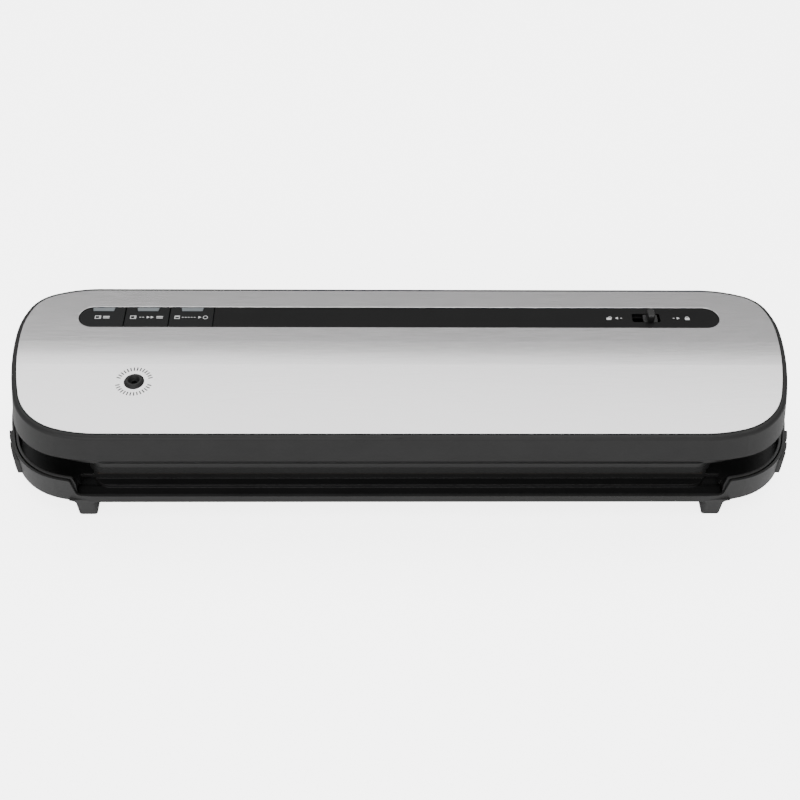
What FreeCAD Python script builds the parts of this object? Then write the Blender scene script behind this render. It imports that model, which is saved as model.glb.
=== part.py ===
import FreeCAD, Part
import math
import os
from FreeCAD import Vector

# Compact household vacuum sealer. Millimetres. +X to the right, -Y to the front, +Z up.
# The origin is the centre of the footprint on the surface that the feet stand on.

# ---------- outline seen from above, taken at the edge of the metal plate ----------
plate_length = 378.0          # X
plate_depth = 97.0            # Y
front_bends = ((0, 16, 72.0), (16, 74, 31.0))      # heading from, heading to, radius
rear_bends = ((90, 112, 45.0), (112, 158, 16.0), (158, 180, 60.0))
lid_overhang = 2.7            # lid skirt stands out past the plate
lid_stretch = -0.5            # added to that at each end, at the top
lid_flare = 3.0               # added at each end towards the skirt's bottom
base_overhang = 3.4           # base wall stands out past the plate
base_stretch = 5.0            # and this much more at each end

# ---------- heights, stacked from the floor ----------
foot_height = 12.8
base_band = 14.7              # outer wall of the base
lid_gap = 15.5                # between base rim and lid skirt
lid_height = 19.0             # skirt bottom to plate top at the rear
crown_slope = 3.0             # degrees, front part of the lid's top falls forward
crown_bend = 3.0              # Y where the slope starts
crown_blend = 8.0             # half width of the rounded bend

base_bottom = foot_height
rim_top = base_bottom + base_band
skirt_bottom = rim_top + lid_gap
plate_top = skirt_bottom + lid_height

# ---------- walls, gaps and fits ----------
wall = 2.2
base_wall = 1.2               # outer wall of the base
back_wall = 1.6               # rear wall between the hinges
skin = 2.0
slip = 0.15                   # easy fit between pieces that don't move
running = 0.05                # radial clearance of a pin in its hole
moving = 0.35                 # gap beside a piece that slides
plate_thickness = 0.8
plate_gap = 0.4               # shadow line round the plate
plate_proud = 0.3             # the plate stands this much above the shell's rim
lid_edge_round = 2.0          # top edge of the lid's rim

# ---------- base ----------
lip_height = 4.7              # front lip that the bag lies over
notch_half = 159.5            # half width of the bag mouth at the rim
notch_lean = 2.2              # the mouth narrows by this towards the lip
notch_round = 2.5
notch_crest = 1.3             # rounding where the mouth's ends meet the rim
base_edge_round = 0.8         # bottom edge of the outer wall
groove = 0.6                  # shadow line between outer wall and deck
deck_bead = 1.2               # edge of the deck, stands just proud of the wall
deck_bead_rise = 0.4
deck_floor = 8.2              # deck top above the base bottom
platform_rise = 2.9           # sealing platform above the deck
platform_half = 151.0
platform_front = 3.6          # back from the plate's front edge
platform_rear = 18.0          # Y
platform_round = 9.0
platform_edge = 0.8           # rounding of its top edge
channel_half = 137.0
channel_front = -24.0
channel_rear = 6.0
channel_depth = 9.7
tray_wall = 1.2
belly_half = 168.0
belly_front = -36.0
belly_rear = 39.0
belly_depth = 8.8
belly_round = 12.0
post_x = 154.3
sole_setback = -0.8           # foot sole behind the plate's front and rear edges, or beyond if negative
post_width = 9.2
post_depth = 7.5
post_flare = 2.5              # fillet between the post's sides and the base
post_round = 1.5
pad_thickness = 0.9           # foot pad below the post
pad_recess = 0.6
grip_centre_y = -24.5
grip_length = 20.0
grip_thickness = 1.8
grip_inset = 2.2              # from the base's bottom edge, and half more from its rim
grip_groove = 1.2             # depth of the grooves between ribs
grip_ribs = 3

# ---------- sealing parts ----------
gasket_width = 6.0
gasket_half = 147.5
gasket_front = -32.6
gasket_rear = 14.6
lower_gasket_height = 2.8
upper_gasket_height = 3.0
gasket_round = 9.0
gasket_gap = 0.4              # between the two gaskets with the lid just down
heater_front = 3.4            # carrier behind the platform's front edge
heater_width = 5.6
heater_depth = 1.9
heater_half = 146.0
element_width = 3.0
element_thickness = 0.2
tape_overlap = 1.3
tape_thickness = 0.2
strip_gap = 0.4               # pressure strip above the tape
strip_width = 9.5
strip_front = 0.9             # behind the platform's front edge
pad_front = 0.6

# ---------- hinge ----------
hinge_y = 44.5
hinge_above_rim = 7.5
knuckle_radius = 3.8
pin_radius = 1.5
hinge_x = 118.0
ear_width = 10.0
arm_width = 6.0
rear_wall_half = 150.0
rear_wall_rise = 12.5         # above the rim

# ---------- latch ----------
latch_travel = 5.4
latch_rest = 127.0            # X of the knob with the latch in its storage place
bar_y = 28.7
bar_width = 6.0
bar_thickness = 1.5
bar_below_plate = 13.0
hook_inset = 17.5             # outer face of the right hook from the plate's end
hook_toe = 3.0
hook_width = 6.0
hook_bite = 1.9
catch_thickness = 0.6

# ---------- control strip ----------
strip_half = 162.1
strip_y = 28.5
strip_depth = 14.7
strip_thickness = 2.2
strip_sunk = 0.15
key_first = -94.4             # right-hand edge of the keys
key_pitch = 22.4
key_gap = 0.4
key_thickness = 1.4
key_travel = 0.8
window_width = 11.2
window_depth = 2.5
window_inset = 0.35           # from the strip's rear edge
knob_width = 7.3
knob_depth = 5.5
fin_width = 3.7
fin_rise = 3.6
slot_length = 14.2

# ---------- accessory port ----------
port_x = -128.8
port_y = -16.3
port_radius = 4.75
port_bore = 1.6

# ---------- pump, hoses and electronics ----------
pump_y = -2.0
pump_x = -97.0
pump_length = 23.0
motor_length = 32.0
motor_clearance = 0.6
shaft_radius = 1.0
eccentric_offset = 1.0
valve_x = -115.0
hose_radius = 2.8
hose_bore = 1.5
board_thickness = 1.6
board_half = 80.0
gland_x = 140.0
gland_radius = 4.4
gland_bore = 3.4

# ---------- levels that follow from the sizes above ----------
half_length = plate_length / 2
half_depth = plate_depth / 2
lip_top = base_bottom + lip_height
deck_top = base_bottom + deck_floor
platform_top = deck_top + platform_rise
housing_floor_top = base_bottom + skin
platform_y = -half_depth + platform_front
heater_y = platform_y + heater_front
tape_top = platform_top + 0.4 + element_thickness + tape_thickness
pad_bottom = platform_top + lower_gasket_height + gasket_gap + upper_gasket_height
tub_bottom = pad_bottom + 2.0
tub_floor_top = tub_bottom + skin
flange_bottom = skirt_bottom + 0.4
flange_top = flange_bottom + skin
tub_inset = 4.9               # tub wall inside the plate's edge
tub_rear = 36.0
shell_top_drop = plate_thickness + 2.6
cavity_top = plate_top - shell_top_drop
hinge_z = rim_top + hinge_above_rim
rear_wall_top = rim_top + rear_wall_rise
bar_top = plate_top - bar_below_plate
hook_x = half_length - hook_inset
pocket_floor = plate_top - strip_sunk - strip_thickness
control_board_top = plate_top - 8.8
boss_points = ((158.0, 8.0), (-158.0, 8.0), (158.0, -28.0), (-158.0, -28.0), (60.0, 22.3), (-60.0, 22.3))
boss_radius = 2.9
screw_radius = 1.5


# ---------- shape helpers ----------
def turn(radius, start, end):
    """X and Y covered by an arc of this radius between two headings in degrees."""
    a, b = math.radians(start), math.radians(end)
    return radius * (math.sin(b) - math.sin(a)), radius * (math.cos(a) - math.cos(b))


def all_bends():
    """The right half's arcs from the front centre to the rear centre. The side arc fills the depth."""
    depth_used = sum(turn(r, a, b)[1] for a, b, r in front_bends + rear_bends)
    side_from = front_bends[-1][1]
    side_radius = (plate_depth - depth_used) / math.cos(math.radians(side_from))
    return front_bends + ((side_from, 90, side_radius),) + rear_bends


def outline(grow, z, stretch):
    """Closed wire of the outline at height z, grown evenly by an amount and drawn out at its ends."""
    bends = all_bends()
    front_run = half_length + stretch - sum(turn(r, a, b)[0] for a, b, r in bends if b <= 90)
    x, y = front_run, -half_depth - grow
    arcs = []
    for start, end, radius in bends:
        r = radius + grow
        a, m, b = (math.radians(h) for h in (start, (start + end) / 2, end))
        cx, cy = x - r * math.sin(a), y + r * math.cos(a)
        p, q, s = ((cx + r * math.sin(h), cy - r * math.cos(h)) for h in (a, m, b))
        arcs.append((p, q, s))
        x, y = s
    edges = []
    for p, q, s in arcs:
        edges.append(Part.Arc(Vector(*p, z), Vector(*q, z), Vector(*s, z)).toShape())
    edges.append(Part.makeLine(Vector(x, y, z), Vector(-x, y, z)))
    for p, q, s in reversed(arcs):
        left = [Vector(-u, v, z) for u, v in (s, q, p)]
        edges.append(Part.Arc(*left).toShape())
    first = arcs[0][0]
    edges.append(Part.makeLine(Vector(-first[0], first[1], z), Vector(first[0], first[1], z)))
    return Part.Wire(edges)


def prism(grow, z0, z1, stretch=0):
    return Part.Face(outline(grow, z0, stretch)).extrude(Vector(0, 0, z1 - z0))


def tapered(top, bottom):
    """Solid between two outlines, each given as (grow, z, stretch)."""
    return Part.makeLoft([outline(*top), outline(*bottom)], True, True)


def base_prism(grow, z0, z1):
    return prism(grow, z0, z1, base_stretch)


def lid_prism(grow, z0, z1):
    return prism(grow, z0, z1, lid_stretch)


def box(x0, x1, y0, y1, z0, z1):
    return Part.makeBox(x1 - x0, y1 - y0, z1 - z0, Vector(x0, y0, z0))


def rounded(x0, x1, y0, y1, z0, z1, r):
    """Upright block with rounded corners in plan."""
    k = r * (1 - math.sqrt(0.5))
    p = [Vector(x0 + r, y0, z0), Vector(x1 - r, y0, z0), Vector(x1 - k, y0 + k, z0), Vector(x1, y0 + r, z0),
         Vector(x1, y1 - r, z0), Vector(x1 - k, y1 - k, z0), Vector(x1 - r, y1, z0), Vector(x0 + r, y1, z0),
         Vector(x0 + k, y1 - k, z0), Vector(x0, y1 - r, z0), Vector(x0, y0 + r, z0), Vector(x0 + k, y0 + k, z0)]
    edges = []
    for i in (0, 3, 6, 9):
        if p[i].distanceToPoint(p[(i + 1) % 12]) > 1e-6:
            edges.append(Part.makeLine(p[i], p[(i + 1) % 12]))
        edges.append(Part.Arc(p[(i + 1) % 12], p[(i + 2) % 12], p[(i + 3) % 12]).toShape())
    return Part.Face(Part.Wire(edges)).extrude(Vector(0, 0, z1 - z0))


def rod(x, y, z0, z1, r):
    return Part.makeCylinder(r, z1 - z0, Vector(x, y, z0))


def rod_x(x0, x1, y, z, r):
    return Part.makeCylinder(r, x1 - x0, Vector(x0, y, z), Vector(1, 0, 0))


def rod_y(x, y0, y1, z, r):
    return Part.makeCylinder(r, y1 - y0, Vector(x, y0, z), Vector(0, 1, 0))


def join(first, *rest):
    return first.multiFuse(list(rest)).removeSplitter()


def cut(body, *tools):
    return body.cut(Part.makeCompound(list(tools)))


def under_crown(drop):
    """Everything below the lid's top surface, lowered by drop: level at the rear, a bend, then the slope."""
    a = math.radians(crown_slope)
    z = plate_top - drop
    far_y = half_depth + 30
    start = Vector(0, crown_bend + crown_blend, z)
    radius = crown_blend / math.tan(a / 2)
    centre = Vector(0, start.y, z - radius)
    end = Vector(0, centre.y - radius * math.sin(a), centre.z + radius * math.cos(a))
    middle = Vector(0, centre.y - radius * math.sin(a / 2), centre.z + radius * math.cos(a / 2))
    front = Vector(0, -far_y, end.z - (far_y + end.y) * math.tan(a))
    rear = Vector(0, far_y, z)
    floor_rear, floor_front = Vector(0, far_y, -5), Vector(0, -far_y, -5)
    wire = Part.Wire([
        Part.makeLine(rear, start),
        Part.Arc(start, middle, end).toShape(),
        Part.makeLine(end, front),
        Part.makeLine(front, floor_front),
        Part.makeLine(floor_front, floor_rear),
        Part.makeLine(floor_rear, rear),
    ])
    wire.translate(Vector(-half_length - 30, 0, 0))
    return Part.Face(wire).extrude(Vector(plate_length + 60, 0, 0))


def crown_height(y):
    """Height of the plate's top surface on the sloping front part."""
    return plate_top - (crown_bend - y) * math.tan(math.radians(crown_slope))


def capsule(grow, z0, z1):
    """The control strip's long round-ended shape."""
    r = strip_depth / 2
    reach = strip_half + grow
    return rounded(-reach, reach, strip_y - r - grow, strip_y + r + grow, z0, z1, r + grow - 0.01)


def ring(half, front, rear, width, z0, z1, r):
    outer = rounded(-half, half, front, rear, z0, z1, r)
    inner = rounded(-half + width, half - width, front + width, rear - width, z0, z1, max(r - width, 1.0))
    return outer.cut(inner)


def round_edges(body, radius, chosen):
    """Rounds the edges that a test picks."""
    edges = [e for e in body.Edges if chosen(e)]
    return body.makeFillet(radius, edges)


def tube(points, radii, outer, inner):
    """Hose along straight runs joined by round bends at the inner points."""
    edges = []
    here = points[0]
    for i in range(1, len(points) - 1):
        corner, after = points[i], points[i + 1]
        u = (corner - points[i - 1]).normalize()
        v = (after - corner).normalize()
        half_turn = math.acos(max(-1.0, min(1.0, u.dot(v)))) / 2
        reach = radii[i - 1] * math.tan(half_turn)
        a, b = corner - u * reach, corner + v * reach
        inward = (v - u).normalize()
        centre = corner + inward * (radii[i - 1] / math.cos(half_turn))
        edges.append(Part.makeLine(here, a))
        edges.append(Part.Arc(a, centre - inward * radii[i - 1], b).toShape())
        here = b
    edges.append(Part.makeLine(here, points[-1]))
    path = Part.Wire(edges)
    heading = (points[1] - points[0]).normalize()
    made = []
    for r in (outer, inner):
        circle = Part.Wire(Part.makeCircle(r, points[0], heading))
        made.append(path.makePipeShell([circle], True, False))
    return made[0].cut(made[1])


def screw(x, y, head_z, length, head_radius, head_height):
    """Pan-head screw with its head's face at head_z and its shank pointing up."""
    neck = head_z + head_height
    return join(rod(x, y, head_z, neck, head_radius), rod(x, y, neck, neck + length, screw_radius))


# ---------- base ----------
def notch(z0, grow, rim):
    """The front mouth, cut down through a wall to z0, with leaning ends, rounded feet and rounded crests."""
    top = skirt_bottom
    foot = notch_half - notch_lean - grow
    crest = rim - notch_crest
    head = foot + notch_lean / (rim_top - lip_top) * (crest - z0)
    bow = notch_crest * (1 - math.sqrt(0.5))
    rise = [Vector(foot, 0, z0), Vector(head, 0, crest), Vector(head + bow, 0, rim - bow),
            Vector(head + notch_crest, 0, rim), Vector(head + notch_crest, 0, top)]
    fall = [Vector(-p.x, 0, p.z) for p in reversed(rise)]
    wire = Part.Wire([
        Part.makeLine(rise[0], rise[1]),
        Part.Arc(rise[1], rise[2], rise[3]).toShape(),
        Part.makeLine(rise[3], rise[4]),
        Part.makeLine(rise[4], fall[0]),
        Part.makeLine(fall[0], fall[1]),
        Part.Arc(fall[1], fall[2], fall[3]).toShape(),
        Part.makeLine(fall[3], fall[4]),
        Part.makeLine(fall[4], rise[0]),
    ])
    block = Part.Face(wire).extrude(Vector(0, 20, 0))
    block.translate(Vector(0, -half_depth - 12, 0))
    def foot_edge(e):
        return abs(e.BoundBox.ZMax - z0) < 0.01 and e.BoundBox.YLength > 19
    return round_edges(block, notch_round, foot_edge)


def post_front(x):
    """A foot post seen from the front: straight sides that flare into the base, and a rounded sole."""
    w, f, r = post_width / 2, post_flare, post_round
    sole, top = pad_thickness / 2, base_bottom + 0.6
    far, near = (1 - math.sqrt(0.5)) * f, (1 - math.sqrt(0.5)) * r
    half = [Vector(w + f, 0, top), Vector(w + far, 0, top - far), Vector(w, 0, top - f), Vector(w, 0, sole + r),
            Vector(w - near, 0, sole + near), Vector(w - r, 0, sole)]
    edges = []
    for way in (1, -1):
        a, b, c, d, e, g = (Vector(x + way * p.x, 0, p.z) for p in half)
        edges += [Part.Arc(a, b, c).toShape(), Part.makeLine(c, d), Part.Arc(d, e, g).toShape()]
    edges.append(Part.makeLine(Vector(x - w + r, 0, sole), Vector(x + w - r, 0, sole)))
    lift = Vector(0, 0, 1.4)
    right, left = Vector(x + w + f, 0, top), Vector(x - w - f, 0, top)
    edges += [Part.makeLine(right, right + lift), Part.makeLine(right + lift, left + lift),
              Part.makeLine(left + lift, left)]
    wire = Part.Wire(Part.sortEdges(edges)[0])
    return Part.Face(wire).extrude(Vector(0, half_depth + 20, 0))


def foot_post(x, side):
    """Post whose outer face runs on from the base wall and leans in to the sole. side is -1 at the front."""
    inner = half_depth - sole_setback - post_depth
    sole = pad_thickness / 2
    lean = tapered((base_overhang - 0.1, base_bottom + 2.0, base_stretch),
                   (-sole_setback, sole, base_stretch))
    lean = lean.common(box(x - 20, x + 20, inner, half_depth + 20, 0, base_bottom + 2.0))
    post = post_front(x).common(lean)
    def sole_edge(e):
        return e.BoundBox.ZMax < sole + 0.01 and e.BoundBox.YMin > inner + 1
    post = round_edges(post, post_round * 0.7, sole_edge)
    if side < 0:
        post = post.mirror(Vector(0, 0, 0), Vector(0, 1, 0))
    return post


def base_housing():
    grow = base_overhang
    shell = base_prism(grow, base_bottom, rim_top)
    shell = round_edges(shell, base_edge_round, lambda e: e.BoundBox.ZMax < base_bottom + 0.01)
    shell = shell.cut(base_prism(grow - base_wall, housing_floor_top, rim_top + 1))
    rear_y = half_depth + grow - base_wall
    back = box(-rear_wall_half, rear_wall_half, rear_y - back_wall, rear_y, housing_floor_top, rear_wall_top)
    ears = []
    for x in (-hinge_x, hinge_x):
        ears.append(box(x - ear_width / 2, x + ear_width / 2, hinge_y - knuckle_radius, rear_y - 0.5,
                        housing_floor_top, hinge_z))
        ears.append(rod_x(x - ear_width / 2, x + ear_width / 2, hinge_y, hinge_z, knuckle_radius))
    posts = [foot_post(x, side) for x in (-post_x, post_x) for side in (-1, 1)]
    shell = join(shell, back, *ears, *posts)
    opening = rounded(-belly_half + 4, belly_half - 4, belly_front + 4, belly_rear - 4,
                      base_bottom - 0.1, housing_floor_top + 0.1, belly_round - 4)
    tools = [opening, notch(lip_top, 0, rim_top)]
    for x in (-hinge_x, hinge_x):
        tools.append(rod_x(x - ear_width, x + ear_width, hinge_y, hinge_z, pin_radius))
        for side in (-1, 1):
            a = x + side * (ear_width / 2)
            b = a + side * (arm_width + 1.2)
            tools.append(box(min(a, b), max(a, b), rear_y - 3, rear_y + 0.1, rim_top + 3, rear_wall_top + 1))
    tools.append(rod_y(gland_x, 40, half_depth + 10, gland_z(), gland_radius))
    for x, y in base_screw_points():
        tools.append(rod(x, y, base_bottom - 0.1, housing_floor_top + 0.1, screw_radius))
    for x in (-post_x, post_x):
        for side in (-1, 1):
            tools.append(foot_pad_block(x, side, slip, -1))
    return cut(shell, *tools)


def gland_z():
    return base_bottom + 7.2


def foot_pad_block(x, side, grow, z0):
    y = side * (half_depth - sole_setback - post_depth / 2)
    a, b = post_width / 2 - 1.3 + grow, post_depth / 2 - 1.3 + grow
    return rounded(x - a, x + a, y - b, y + b, z0, pad_thickness + pad_recess, 1.2)


def foot_pads():
    return [foot_pad_block(x, side, 0, 0) for x in (-post_x, post_x) for side in (-1, 1)]


def base_screw_points():
    x, front, rear = belly_half - 2.2, belly_front + 14, belly_rear - 14
    return [(-x, front), (x, front), (-x, rear), (x, rear)]


def base_deck():
    outer = base_overhang - base_wall - groove
    bead = base_prism(outer, housing_floor_top, rim_top + deck_bead_rise)
    bead = bead.cut(base_prism(outer - deck_bead, housing_floor_top - 1, rim_top + 5))
    plate = base_prism(outer, deck_top - wall, deck_top)
    block = rounded(-platform_half, platform_half, platform_y, platform_rear, housing_floor_top, platform_top,
                    platform_round)
    block = round_edges(block, platform_edge, lambda e: e.BoundBox.ZMin > platform_top - 0.01)
    gutter_half = notch_half - notch_lean
    gutter_floor = base_prism(outer - 0.3, housing_floor_top, housing_floor_top + 1.4).common(
        box(-gutter_half, gutter_half, -half_depth - 9, platform_y + 1, 0, rim_top))
    hump = rounded(gland_x - 9.5, gland_x + 9.5, 30, half_depth + outer - 0.5,
                   deck_top - wall, deck_top + 6.5, 3)
    deck = join(bead, plate, block, gutter_floor, hump)
    under = [
        box(-platform_half + wall, platform_half - wall, channel_rear + wall, platform_rear - wall,
            housing_floor_top - 1, platform_top - wall),
        box(-platform_half + wall, platform_half - wall, gasket_front + 2, channel_front - wall,
            housing_floor_top - 1, platform_top - wall),
        box(channel_half + wall, platform_half - wall, gasket_front + 2, platform_rear - wall,
            housing_floor_top - 1, platform_top - wall),
        box(-platform_half + wall, -channel_half - wall, gasket_front + 2, platform_rear - wall,
            housing_floor_top - 1, platform_top - wall),
        box(board_half * -0.75, board_half * 0.75, channel_rear + wall, platform_rear + 1,
            housing_floor_top - 1, deck_top - wall),
        box(gland_x - 8, gland_x + 8, 28, half_depth - 0.7, housing_floor_top - 1, deck_top + 4.9),
    ]
    above = [
        box(-gutter_half, gutter_half, -half_depth - 5, platform_y, housing_floor_top + 1.4, rim_top + 5),
        rounded(-channel_half, channel_half, channel_front, channel_rear, channel_floor(), rim_top, 6),
        rounded(-heater_half - slip, heater_half + slip, heater_y - slip, heater_y + heater_width + slip,
                platform_top - heater_depth + 0.4, rim_top, 2.5),
        notch(lip_top + deck_bead_rise, deck_bead, rim_top + deck_bead_rise),
        rod_y(gland_x, 40, half_depth + 10, gland_z(), gland_radius + slip),
    ]
    wells = [box(x0, x1, -6.5, hook_width / 2 + 1, housing_floor_top - 1, rim_top)
             for x0, x1 in hook_spans(1.1)]
    pillars = [rod(x, y, housing_floor_top, deck_top - wall + 0.1, 3.4) for x, y in base_screw_points()]
    holes = [rod(x, y, housing_floor_top - 1, deck_top - wall, screw_radius) for x, y in base_screw_points()]
    rear_y = half_depth + base_overhang - base_wall
    for x in (-hinge_x, hinge_x):
        a = ear_width / 2 + arm_width + 1.4
        wells.append(box(x - a, x + a, hinge_y - knuckle_radius - slip, rear_y + 1, housing_floor_top - 1,
                         rear_wall_top))
    wells.append(box(-rear_wall_half - slip, rear_wall_half + slip, rear_y - back_wall - slip, rear_y + 1,
                     housing_floor_top - 1, rear_wall_top))
    deck = cut(deck, *under, *above)
    deck = join(deck, channel_shell(), *pillars)
    return cut(deck, *wells, *holes)


def channel_floor():
    return platform_top - channel_depth


def channel_shell():
    """Walls and floor of the vacuum channel's pocket."""
    outer = rounded(-channel_half - wall, channel_half + wall, channel_front - wall, channel_rear + wall,
                    channel_floor() - skin, platform_top, 8)
    return outer.cut(rounded(-channel_half, channel_half, channel_front, channel_rear,
                             channel_floor(), platform_top + 1, 6))


def hook_spans(margin):
    """X ranges that each hook sweeps over its whole travel."""
    length = hook_toe + bar_thickness
    return [(end - length - latch_travel - margin, end + margin) for end in (hook_x, -hook_x + length)]


def drip_tray():
    g = slip + 0.2
    body = rounded(-channel_half + g, channel_half - g, channel_front + g, channel_rear - g,
                   channel_floor() + 0.05, platform_top + 0.3, 5.6)
    inner = rounded(-channel_half + g + tray_wall, channel_half - g - tray_wall, channel_front + g + tray_wall,
                    channel_rear - g - tray_wall, channel_floor() + tray_wall, platform_top + 1, 4.5)
    tabs = []
    for side in (-1, 1):
        x = side * (channel_half - g - tray_wall - 3.5)
        tabs.append(rounded(x - 3.6, x + 3.6, channel_rear - 20, channel_rear - 10,
                            platform_top - 1.2, platform_top, 1.5))
    return join(body.cut(inner), *tabs)


def bottom_cover():
    floor = base_bottom - belly_depth
    outer = rounded(-belly_half, belly_half, belly_front, belly_rear, floor, base_bottom, belly_round)
    outer = round_edges(outer, 2.5, lambda e: e.BoundBox.ZMax < floor + 0.01)
    inner = rounded(-belly_half + wall, belly_half - wall, belly_front + wall, belly_rear - wall,
                    floor + skin, base_bottom + 1, belly_round - wall)
    posts = [rod(x, y, floor + 0.5, base_bottom, 4.2) for x, y in base_screw_points()]
    stands = [rod(x, y, floor + 1, board_bottom(), 2.6) for x, y in board_points()]
    body = join(outer.cut(inner), *posts, *stands)
    common = rounded(-belly_half, belly_half, belly_front, belly_rear, floor, base_bottom, belly_round)
    body = body.common(common)
    tools = []
    for x, y in base_screw_points():
        tools.append(rod(x, y, floor - 1, floor + 3.0, 2.9))
        tools.append(rod(x, y, floor, base_bottom + 1, screw_radius))
    for i in range(7):
        x = -24 + 8 * i
        tools.append(rounded(x - 1.2, x + 1.2, -6, 14, floor - 1, floor + skin + 1, 1.1))
    for x, y in board_points():
        tools.append(rod(x, y, board_bottom() - 3, board_bottom() + 1, 1.0))
    return cut(body, *tools)


def board_bottom():
    return base_bottom - belly_depth + skin + 2.0


def board_points():
    return [(-74, channel_rear + 7), (74, channel_rear + 7), (-74, belly_rear - 9), (74, belly_rear - 9)]


def power_board():
    b = board_bottom()
    body = box(-board_half, board_half, channel_rear + wall + 1.3, belly_rear - 5.5, b, b + board_thickness)
    return cut(body, *[rod(x, y, b - 1, b + 3, 1.0) for x, y in board_points()])


def board_screws():
    top = board_bottom() + board_thickness
    made = []
    for x, y in board_points():
        made.append(join(rod(x, y, top, top + 1.4, 2.0), rod(x, y, top - 4.0, top, 1.0)))
    return made


def transformer():
    b = board_bottom() + board_thickness
    core = box(-46, -22, 14, 31, b, b + 7.6)
    coil = box(-42, -26, 11.5, 33, b + 0.8, b + 6.8)
    return join(core, coil)


def capacitors():
    b = board_bottom() + board_thickness
    return [rod_y(x, 13, 31, b + r, r) for x, r in ((-8, 3.8), (2, 3.8), (12, 3.8))]


def heat_sink():
    b = board_bottom() + board_thickness
    fins = [box(x, x + 1.2, 13, 31, b, b + 7.4) for x in (26, 30, 34, 38, 42)]
    return join(box(26, 43.2, 13, 31, b, b + 1.4), *fins)


def cord_gland():
    y0, y1 = half_depth - 4.6, half_depth + base_overhang - 0.3
    inner = half_depth - 0.7
    body = join(rod_y(gland_x, y0, y1, gland_z(), gland_radius - slip),
                rod_y(gland_x, inner - 2.0, inner - 0.05, gland_z(), gland_radius + 0.7))
    return body.cut(rod_y(gland_x, y0 - 1, y1 + 1, gland_z(), gland_bore))


def base_screws():
    floor = base_bottom - belly_depth
    return [screw(x, y, floor + 1.0, deck_top - wall - floor - 4.0, 2.6, 2.0) for x, y in base_screw_points()]


def side_grip(side):
    """Ribbed pad set on the end of the base."""
    lo, hi = grip_centre_y - grip_length / 2, grip_centre_y + grip_length / 2
    z0, z1 = base_bottom + grip_inset, rim_top - 1.5 * grip_inset
    reach = half_length + base_stretch + base_overhang + grip_thickness + 5
    band = base_prism(base_overhang + grip_thickness, z0, z1).cut(base_prism(base_overhang, z0 - 1, z1 + 1))
    a, b = sorted((side * (half_length - 30), side * reach))
    pad = band.common(box(a, b, lo, hi, z0, z1))
    deep = base_prism(base_overhang + grip_thickness + 2, z0 - 1, z1 + 1).cut(
        base_prism(base_overhang + grip_thickness - grip_groove, z0 - 1, z1 + 1))
    pitch = grip_length / grip_ribs
    slots = []
    for i in range(1, grip_ribs):
        y = lo + pitch * i
        slots.append(deep.common(box(a, b, y - 1.3, y + 1.3, z0 - 1, z1 + 1)))
    return cut(pad, *slots)


def hinge_pins():
    reach = ear_width / 2 + arm_width + 0.3
    return [rod_x(x - reach, x + reach, hinge_y, hinge_z, pin_radius) for x in (-hinge_x, hinge_x)]


def lower_gasket():
    return ring(gasket_half, gasket_front, gasket_rear, gasket_width, platform_top,
                platform_top + lower_gasket_height, gasket_round)


def heater_carrier():
    return rounded(-heater_half, heater_half, heater_y, heater_y + heater_width,
                   platform_top - heater_depth + 0.45, platform_top + 0.4, 2.3)


def heating_element():
    y = heater_y + heater_width / 2
    z = platform_top + 0.4
    return box(-heater_half + 3, heater_half - 3, y - element_width / 2, y + element_width / 2,
               z, z + element_thickness)


def heater_tape():
    y0, y1 = heater_y - tape_overlap, heater_y + heater_width + tape_overlap
    x = heater_half + 1.5
    sheet = box(-x, x, y0, y1, platform_top, tape_top)
    return sheet.cut(box(-x + tape_thickness, x - tape_thickness, y0 + tape_thickness, y1 - tape_thickness,
                         platform_top - 1, tape_top - tape_thickness))


def latch_catches():
    """Spring leaves that the hooks' toes snap under."""
    made = []
    for end in (hook_x, -hook_x + hook_toe + bar_thickness):
        x0 = end - hook_bite
        leaf = rounded(x0, end + 10, -hook_width / 2, hook_width / 2,
                       deck_top, deck_top + catch_thickness, 1.2)
        made.append(leaf.cut(rod(end + 6.5, 0, deck_top - 1, deck_top + 2, screw_radius)))
    return made


def catch_screws():
    top = deck_top + catch_thickness
    made = []
    for end in (hook_x, -hook_x + hook_toe + bar_thickness):
        made.append(join(rod(end + 6.5, 0, top, top + 1.3, 2.4),
                         rod(end + 6.5, 0, deck_top, top, screw_radius - 0.05)))
    return made


def lid_switch():
    """Microswitch beside the left hook's well, tripped when the lid is down."""
    x1 = hook_spans(1.1)[1][0] - 0.4
    body = box(x1 - 6, x1, -1, 11, deck_top, deck_top + 5.2)
    return join(body, box(x1 - 4.6, x1 - 1.4, 3, 6, deck_top + 5.2, deck_top + 6.2))


# ---------- lid ----------
def skirt_block(grow, z0):
    """Block of the lid's outline, a little longer at its foot."""
    return tapered((grow, plate_top + 1, lid_stretch), (grow, z0, lid_stretch + lid_flare))


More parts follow.
